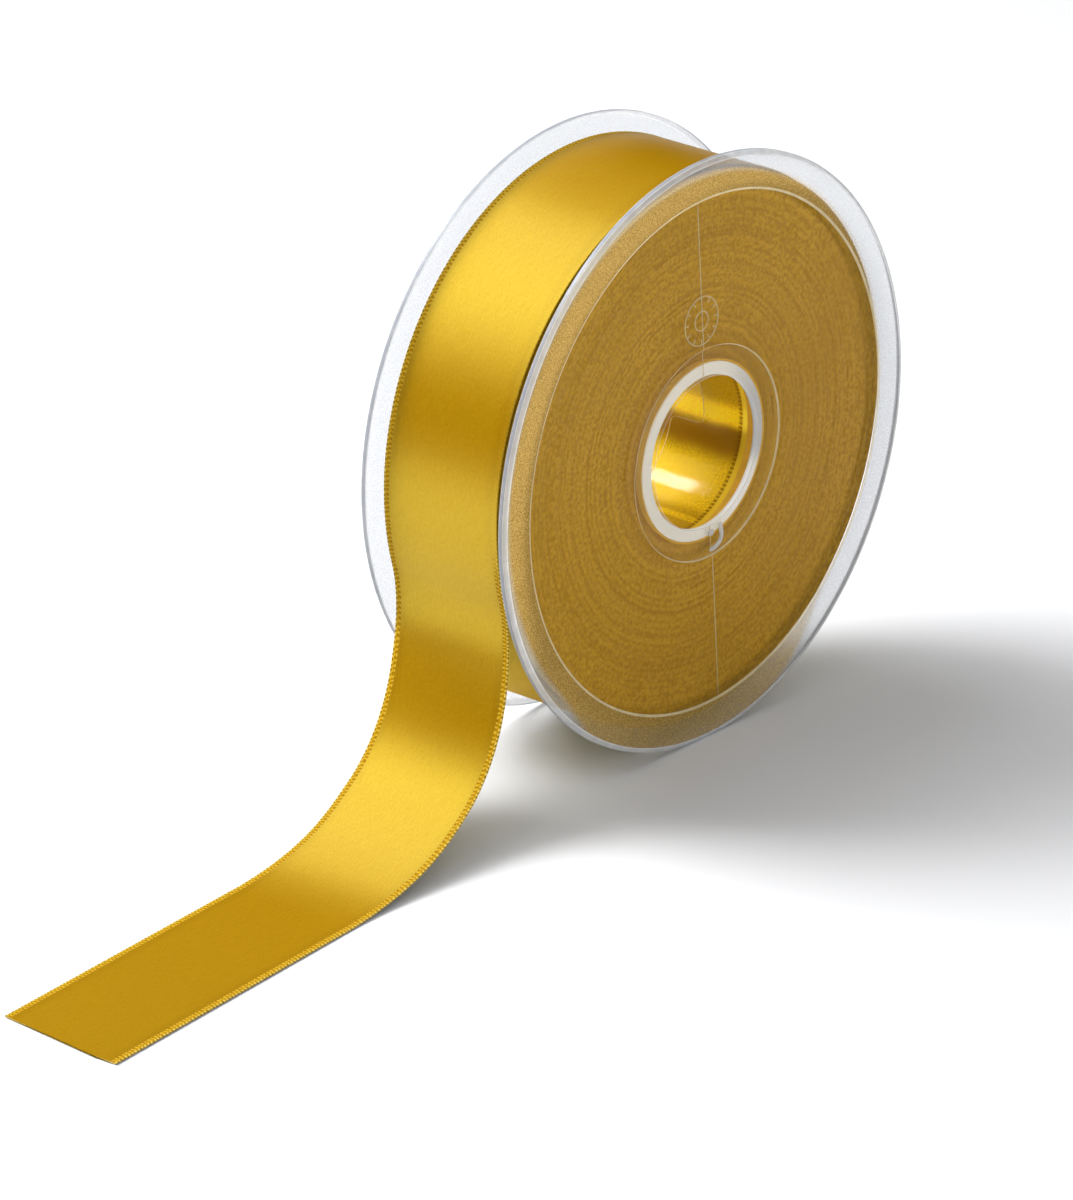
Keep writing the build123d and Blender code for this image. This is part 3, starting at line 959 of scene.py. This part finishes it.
def pack_section(angle, radii, front_offsets, rear_offsets):
    """The pack's outline at an angle round the axis: radius, place along the axis and UV across."""
    section = []
    for row, radius in enumerate(radii):
        relief = turn_relief(front_offsets, row, angle, radius)
        section.append((radius, ROLL_LOW.y - relief - lean_at(radius), radius / MM))
    for share in PACK_OUTER_ROWS:
        y = across_pack(PACK_OUTER_RADIUS, share)
        across = (y - ROLL_CENTRE) / MM
        section.append((PACK_OUTER_RADIUS, y, min(max(across, -PACK_FACE_EDGE), PACK_FACE_EDGE)))
    for row in reversed(range(len(radii))):
        relief = turn_relief(rear_offsets, row, angle, radii[row])
        section.append((radii[row], ROLL_HIGH.y + relief, radii[row] / MM))
    for share in PACK_BORE_ROWS:
        y = across_pack(PACK_INNER_RADIUS, share)
        section.append((PACK_INNER_RADIUS, y, (y - ROLL_CENTRE) / MM))
    return section


def ribbon_pack(materials):
    """The wound ribbon: a spiral of turns whose edges make fine rings on both sides."""
    turns = int((PACK_OUTER_RADIUS - PACK_INNER_RADIUS) / RIBBON_THICKNESS)
    rows = turns * PACK_ROWS_PER_TURN
    radii = np.linspace(PACK_INNER_RADIUS, PACK_OUTER_RADIUS, rows + 1)
    rng = np.random.default_rng(7)
    front_offsets = turn_offsets(rng, turns + 3)
    rear_offsets = turn_offsets(rng, turns + 3)
    points = []
    uvs = []
    for k in range(PACK_COLUMNS):
        angle = 2 * math.pi * k / PACK_COLUMNS
        section = pack_section(angle, radii, front_offsets, rear_offsets)
        for radius, y, across in section:
            points.append((radius * math.cos(angle), y, radius * math.sin(angle)))
            uvs.append((angle * radius / MM, across))
    faces = grid_faces(PACK_COLUMNS, len(section), True, True)
    side = [0] * rows
    slots = side + [1] * (len(PACK_OUTER_ROWS) + 1) + side + [2] * (len(PACK_BORE_ROWS) + 1)
    piece = make_object("ribbon_pack", points, faces, slots * PACK_COLUMNS, materials, 80.0)
    add_uv(piece, uvs)
    return piece


# ---------------------------------------------------------------- build


satin = satin_material()
side_of_roll = roll_side_material()
cut_end = cut_end_material()
plastic = {
    "clear": clear_material("clear_window", 1.2),
    "centre": clear_material("clear_centre", 1.2, 0.12, colour(0.46, 0.28, 0.06)),
    "frosted": frosted_material(),
    "rim": pale_plastic("moulded_rim", (0.46, 0.48, 0.52), 0.93, 0.35),
    "bevel": pale_plastic("rim_bevel", (0.78, 0.79, 0.80), 0.8, 0.3),
    "edge": pale_plastic("rim_edge", (0.94, 0.94, 0.94), 0.85, 0.25),
    "line": pale_plastic("step_line", (1.0, 0.84, 0.50), 0.8, 0.3),
    "sleeve": clear_material("clear_sleeve", 1.2),
    # The collar is painted ochre and given a glow: painted light for the ribbon's light piped through the
    # clear sleeve.
    "collar": pale_plastic("collar_painted_light", (0.66, 0.38, 0.035), 0.97, 0.7, 0.2, 0.28),
}
white_end = sleeve_end_material()
mark_plastic = pale_plastic("raised_mark", (0.90, 0.74, 0.40), 0.7, 0.3)
gate_plastic = pale_plastic("gate_plastic", (0.88, 0.87, 0.85), 0.75, 0.25)

for half, half_turn in (("front", False), ("rear", True)):
    body = moulding(half + "_moulding", plastic, half_turn)
    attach(body, "spool")
    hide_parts(half + "_flange")
    extras = (
        sleeve_end(half + "_sleeve_end", white_end, half_turn),
        raised_marks(half + "_raised_marks", mark_plastic, half_turn),
        gate_mark(half + "_gate_mark", gate_plastic, half_turn),
    )
    for piece in extras:
        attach(piece, "spool")

pack = ribbon_pack([side_of_roll, satin, bore_satin_material()])
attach(pack, "spool")
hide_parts("ribbon_roll")

tape = frame["nodes"]["anchor_tape"]
tape.data.materials.clear()
tape.data.materials.append(clear_material("clear_tape", 1.45, 0.2))

# The free end: one strip per stretch.
turn_length = 2 * math.pi * LEAVING_RADIUS
short_of_a_turn = 2.0 * MM
past_the_cut = 0.5 * MM
pitch = 0.2 * MM
cloth = [satin, cut_end]
turn = strip("ribbon_outer_turn", cloth, short_of_a_turn - turn_length, SEAM_ON_DROP, pitch)
bend = strip("ribbon_bend", cloth, SEAM_ON_DROP, SEAM_ON_FLAT, pitch)
end = strip("ribbon_end", cloth, SEAM_ON_FLAT, FREE_LENGTH + past_the_cut, pitch, cut=True)

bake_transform(turn)
for piece, first, second, joint in (
    (bend, "ribbon_drop", "ribbon_flat", "flat_flex"),
    (end, "ribbon_flat", "ribbon_tip", "tip_flex"),
):
    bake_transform(piece)
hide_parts("ribbon_lead")
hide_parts("ribbon_drop", "ribbon_flat")
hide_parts("ribbon_tip")


# ---------------------------------------------------------------- floor, light and camera


def floor():
    """A broad floor just under the rims."""
    size = 12.0
    z = GROUND - 0.05 * MM
    corners = [(-size, -size, z), (size, -size, z), (size, size, z), (-size, size, z)]
    return make_object("floor", corners, [(0, 1, 2, 3)], None, [floor_material()])


def softbox(name, place, aim, width, height, power, tint=(1.0, 1.0, 1.0)):
    """A rectangular light that the camera doesn't see."""
    data = bpy.data.lights.new(name, "AREA")
    data.shape = "RECTANGLE"
    data.size = width
    data.size_y = height
    data.energy = power
    data.color = tint
    light = bpy.data.objects.new(name, data)
    light.location = place
    light.rotation_euler = (Vector(aim) - Vector(place)).to_track_quat("-Z", "Y").to_euler()
    light.visible_camera = False
    bpy.context.scene.collection.objects.link(light)
    return light


def surroundings(ceiling, seen):
    """A room that is dark near the horizon and bright overhead, but plain and pale to the camera."""
    world = bpy.data.worlds.new("studio")
    world.use_nodes = True
    nodes = world.node_tree.nodes
    links = world.node_tree.links
    background = nodes["Background"]
    height = nodes.new("ShaderNodeSeparateXYZ")
    links.new(nodes.new("ShaderNodeTexCoord").outputs["Generated"], height.inputs[0])
    glow = nodes.new("ShaderNodeMapRange")
    glow.interpolation_type = "SMOOTHSTEP"
    glow.inputs["From Min"].default_value = 0.45
    glow.inputs["From Max"].default_value = 0.85
    glow.inputs["To Max"].default_value = ceiling
    links.new(height.outputs["Z"], glow.inputs["Value"])
    choice = nodes.new("ShaderNodeMix")
    choice.inputs[3].default_value = seen
    links.new(nodes.new("ShaderNodeLightPath").outputs["Is Camera Ray"], choice.inputs["Factor"])
    links.new(glow.outputs["Result"], choice.inputs[2])
    links.new(choice.outputs[0], background.inputs["Strength"])
    background.inputs["Color"].default_value = colour(1.0, 1.0, 1.0)
    bpy.context.scene.world = world


floor()
surroundings(ceiling=0.62, seen=1.0)
softbox("key_softbox", (-0.11, 0.32, 0.38), (-0.04, 0.0, 0.0), 0.48, 0.55, 1.75, (0.97, 1.0, 1.08))
key = softbox("key_diffuse", (-0.39, 0.78, 0.79), (-0.03, 0.0, 0.0), 0.60, 0.60, 14.5)
key.visible_glossy = False
softbox("front_fill", (0.10, -1.0, 0.16), (0.0, 0.0, 0.0), 0.7, 0.3, 3.2)

# A small bright light that only the clear mouldings mirror, as a highlight inside the bore.
glint = softbox("glint", (-0.115, 0.33, 0.405), (0.0, 0.0, 0.0), 0.12, 0.08, 1.7)
glint.visible_diffuse = False
glint.visible_transmission = False
mirrors = bpy.data.collections.new("clear_mouldings")
for half in ("front", "rear"):
    mirrors.objects.link(bpy.data.objects[half + "_moulding"])
glint.light_linking.receiver_collection = mirrors

camera_data = bpy.data.cameras.new("camera")
camera_data.lens = CAMERA_LENS
camera_data.clip_end = 50.0
camera = bpy.data.objects.new("camera", camera_data)
back = Vector((
    math.sin(CAMERA_AZIMUTH) * math.cos(CAMERA_ELEVATION),
    -math.cos(CAMERA_AZIMUTH) * math.cos(CAMERA_ELEVATION),
    math.sin(CAMERA_ELEVATION),
))
camera.location = CAMERA_AIM + back * CAMERA_DISTANCE
camera.rotation_euler = (-back).to_track_quat("-Z", "Y").to_euler()
bpy.context.scene.collection.objects.link(camera)
bpy.context.scene.camera = camera
bpy.context.scene.view_settings.view_transform = "Standard"
